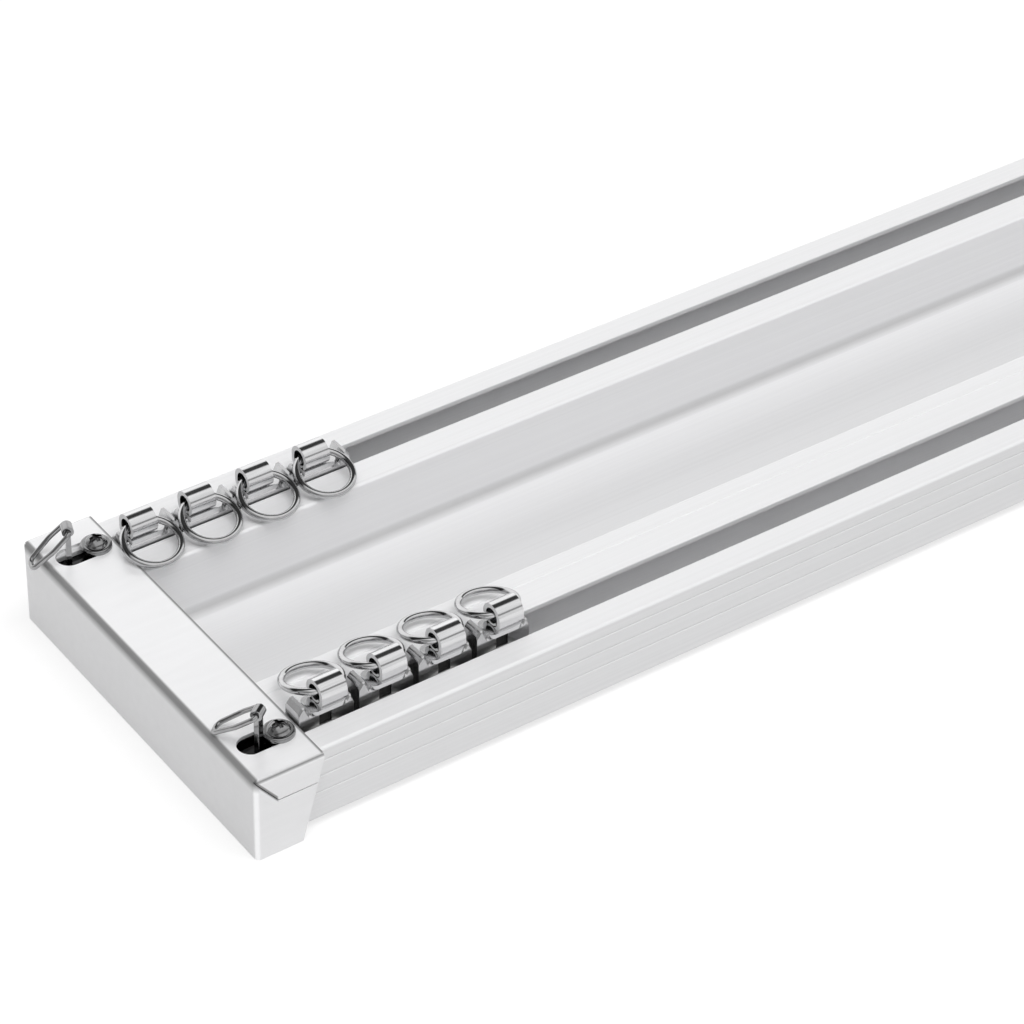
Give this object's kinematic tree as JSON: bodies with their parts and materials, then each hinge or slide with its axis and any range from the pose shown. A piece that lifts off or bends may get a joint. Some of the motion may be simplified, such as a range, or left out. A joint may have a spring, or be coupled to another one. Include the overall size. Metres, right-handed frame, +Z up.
{
  "type": "curtain track",
  "caption": "Double curtain track in satin aluminium with folded end caps, wire hooks at the ends, and chromed wheeled runners with hinged rings in both slots.",
  "frame": {"origin": "On the plane that the lower edges of the end caps stand on, under the middle of the track", "axes": "X runs along the track with the runners parked at its -X end, Y goes across it from the front channel to the back channel, Z is up out of both slots"},
  "size_m": [0.6062, 0.1, 0.032],
  "materials": {
    "profile": "satin anodised, drawn lengthwise",
    "end_cap": "fine satin",
    "screw": "bright plated",
    "nut": "plain",
    "hook": "polished",
    "runner_block": "polished",
    "knuckle": "polished",
    "ring_wire": "polished",
    "axle": "plain",
    "wheel": "moulded, slightly glossy"
  },
  "bodies": {
    "track": {"track_profile": "profile", "near_end_cap": "end_cap", "near_cap_screws": "screw", "near_clamp_nuts": "nut", "near_hook_post_a": "hook", "near_hook_post_b": "hook", "far_end_cap": "end_cap", "far_cap_screws": "screw", "far_clamp_nuts": "nut", "far_hook_post_a": "hook", "far_hook_post_b": "hook"},
    "near_hook_a": {"near_hook_loop_a": "hook"},
    "near_hook_b": {"near_hook_loop_b": "hook"},
    "far_hook_a": {"far_hook_loop_a": "hook"},
    "far_hook_b": {"far_hook_loop_b": "hook"},
    "runner_front_1": {"runner_front_1_body": "runner_block", "runner_front_1_eye": "knuckle", "runner_front_1_axle": "axle"},
    "ring_front_1": {"runner_front_1_ring": "ring_wire"},
    "wheels_front_1": {"runner_front_1_wheels": "wheel"},
    "runner_front_2": {"runner_front_2_body": "runner_block", "runner_front_2_eye": "knuckle", "runner_front_2_axle": "axle"},
    "ring_front_2": {"runner_front_2_ring": "ring_wire"},
    "wheels_front_2": {"runner_front_2_wheels": "wheel"},
    "runner_front_3": {"runner_front_3_body": "runner_block", "runner_front_3_eye": "knuckle", "runner_front_3_axle": "axle"},
    "ring_front_3": {"runner_front_3_ring": "ring_wire"},
    "wheels_front_3": {"runner_front_3_wheels": "wheel"},
    "runner_front_4": {"runner_front_4_body": "runner_block", "runner_front_4_eye": "knuckle", "runner_front_4_axle": "axle"},
    "ring_front_4": {"runner_front_4_ring": "ring_wire"},
    "wheels_front_4": {"runner_front_4_wheels": "wheel"},
    "runner_back_1": {"runner_back_1_body": "runner_block", "runner_back_1_eye": "knuckle", "runner_back_1_axle": "axle"},
    "ring_back_1": {"runner_back_1_ring": "ring_wire"},
    "wheels_back_1": {"runner_back_1_wheels": "wheel"},
    "runner_back_2": {"runner_back_2_body": "runner_block", "runner_back_2_eye": "knuckle", "runner_back_2_axle": "axle"},
    "ring_back_2": {"runner_back_2_ring": "ring_wire"},
    "wheels_back_2": {"runner_back_2_wheels": "wheel"},
    "runner_back_3": {"runner_back_3_body": "runner_block", "runner_back_3_eye": "knuckle", "runner_back_3_axle": "axle"},
    "ring_back_3": {"runner_back_3_ring": "ring_wire"},
    "wheels_back_3": {"runner_back_3_wheels": "wheel"},
    "runner_back_4": {"runner_back_4_body": "runner_block", "runner_back_4_eye": "knuckle", "runner_back_4_axle": "axle"},
    "ring_back_4": {"runner_back_4_ring": "ring_wire"},
    "wheels_back_4": {"runner_back_4_wheels": "wheel"}
  },
  "joints": [
    {"name": "near_hook_a_swing", "type": "hinge", "parent": "track", "child": "near_hook_a", "pos_m": [-0.292, -0.0388, 0.0306], "axis": [0.7986, 0.6018, 0], "range_deg": [0, 120]},
    {"name": "near_hook_b_swing", "type": "hinge", "parent": "track", "child": "near_hook_b", "pos_m": [-0.2942, 0.0388, 0.0306], "axis": [0.3584, 0.9336, 0], "range_deg": [0, 120]},
    {"name": "far_hook_a_swing", "type": "hinge", "parent": "track", "child": "far_hook_a", "pos_m": [0.292, 0.0388, 0.0306], "axis": [-0.7986, -0.6018, 0], "range_deg": [0, 120]},
    {"name": "far_hook_b_swing", "type": "hinge", "parent": "track", "child": "far_hook_b", "pos_m": [0.2942, -0.0388, 0.0306], "axis": [-0.3584, -0.9336, 0], "range_deg": [0, 120]},
    {"name": "runner_front_1_slide", "type": "slide", "parent": "track", "child": "runner_front_1", "axis": [1, 0, 0], "range_m": [0, 0.1245]},
    {"name": "ring_front_1_swing", "type": "hinge", "parent": "runner_front_1", "child": "ring_front_1", "pos_m": [-0.2731, -0.0366, 0.0271], "axis": [0.9976, 0, -0.0698], "range_deg": [0, 207.8]},
    {"name": "wheels_front_1_roll", "type": "hinge", "parent": "runner_front_1", "child": "wheels_front_1", "pos_m": [-0.275, -0.0366, 0.012], "axis": [0, 1, 0], "continuous": true},
    {"name": "runner_front_2_slide", "type": "slide", "parent": "runner_front_1", "child": "runner_front_2", "axis": [1, 0, 0], "range_m": [0, 0.1245]},
    {"name": "ring_front_2_swing", "type": "hinge", "parent": "runner_front_2", "child": "ring_front_2", "pos_m": [-0.2575, -0.0366, 0.0271], "axis": [0.9976, 0, -0.0698], "range_deg": [0, 207.8]},
    {"name": "wheels_front_2_roll", "type": "hinge", "parent": "runner_front_2", "child": "wheels_front_2", "pos_m": [-0.2594, -0.0366, 0.012], "axis": [0, 1, 0], "continuous": true},
    {"name": "runner_front_3_slide", "type": "slide", "parent": "runner_front_2", "child": "runner_front_3", "axis": [1, 0, 0], "range_m": [0, 0.1245]},
    {"name": "ring_front_3_swing", "type": "hinge", "parent": "runner_front_3", "child": "ring_front_3", "pos_m": [-0.2419, -0.0366, 0.0271], "axis": [0.9976, 0, -0.0698], "range_deg": [0, 207.8]},
    {"name": "wheels_front_3_roll", "type": "hinge", "parent": "runner_front_3", "child": "wheels_front_3", "pos_m": [-0.2438, -0.0366, 0.012], "axis": [0, 1, 0], "continuous": true},
    {"name": "runner_front_4_slide", "type": "slide", "parent": "runner_front_3", "child": "runner_front_4", "axis": [1, 0, 0], "range_m": [0, 0.1245]},
    {"name": "ring_front_4_swing", "type": "hinge", "parent": "runner_front_4", "child": "ring_front_4", "pos_m": [-0.2263, -0.0366, 0.0271], "axis": [0.9976, 0, -0.0698], "range_deg": [0, 207.8]},
    {"name": "wheels_front_4_roll", "type": "hinge", "parent": "runner_front_4", "child": "wheels_front_4", "pos_m": [-0.2282, -0.0366, 0.012], "axis": [0, 1, 0], "continuous": true},
    {"name": "runner_back_1_slide", "type": "slide", "parent": "track", "child": "runner_back_1", "axis": [1, 0, 0], "range_m": [0, 0.1245]},
    {"name": "ring_back_1_swing", "type": "hinge", "parent": "runner_back_1", "child": "ring_back_1", "pos_m": [-0.2769, 0.0366, 0.0264], "axis": [-1, 0, 0], "range_deg": [0, 211.8]},
    {"name": "wheels_back_1_roll", "type": "hinge", "parent": "runner_back_1", "child": "wheels_back_1", "pos_m": [-0.275, 0.0366, 0.0113], "axis": [0, 1, 0], "continuous": true},
    {"name": "runner_back_2_slide", "type": "slide", "parent": "runner_back_1", "child": "runner_back_2", "axis": [1, 0, 0], "range_m": [0, 0.1245]},
    {"name": "ring_back_2_swing", "type": "hinge", "parent": "runner_back_2", "child": "ring_back_2", "pos_m": [-0.2613, 0.0366, 0.0264], "axis": [-1, 0, 0], "range_deg": [0, 211.8]},
    {"name": "wheels_back_2_roll", "type": "hinge", "parent": "runner_back_2", "child": "wheels_back_2", "pos_m": [-0.2594, 0.0366, 0.0113], "axis": [0, 1, 0], "continuous": true},
    {"name": "runner_back_3_slide", "type": "slide", "parent": "runner_back_2", "child": "runner_back_3", "axis": [1, 0, 0], "range_m": [0, 0.1245]},
    {"name": "ring_back_3_swing", "type": "hinge", "parent": "runner_back_3", "child": "ring_back_3", "pos_m": [-0.2457, 0.0366, 0.0264], "axis": [-1, 0, 0], "range_deg": [0, 211.8]},
    {"name": "wheels_back_3_roll", "type": "hinge", "parent": "runner_back_3", "child": "wheels_back_3", "pos_m": [-0.2438, 0.0366, 0.0113], "axis": [0, 1, 0], "continuous": true},
    {"name": "runner_back_4_slide", "type": "slide", "parent": "runner_back_3", "child": "runner_back_4", "axis": [1, 0, 0], "range_m": [0, 0.1245]},
    {"name": "ring_back_4_swing", "type": "hinge", "parent": "runner_back_4", "child": "ring_back_4", "pos_m": [-0.2301, 0.0366, 0.0264], "axis": [-1, 0, 0], "range_deg": [0, 211.8]},
    {"name": "wheels_back_4_roll", "type": "hinge", "parent": "runner_back_4", "child": "wheels_back_4", "pos_m": [-0.2282, 0.0366, 0.0113], "axis": [0, 1, 0], "continuous": true}
  ]
}
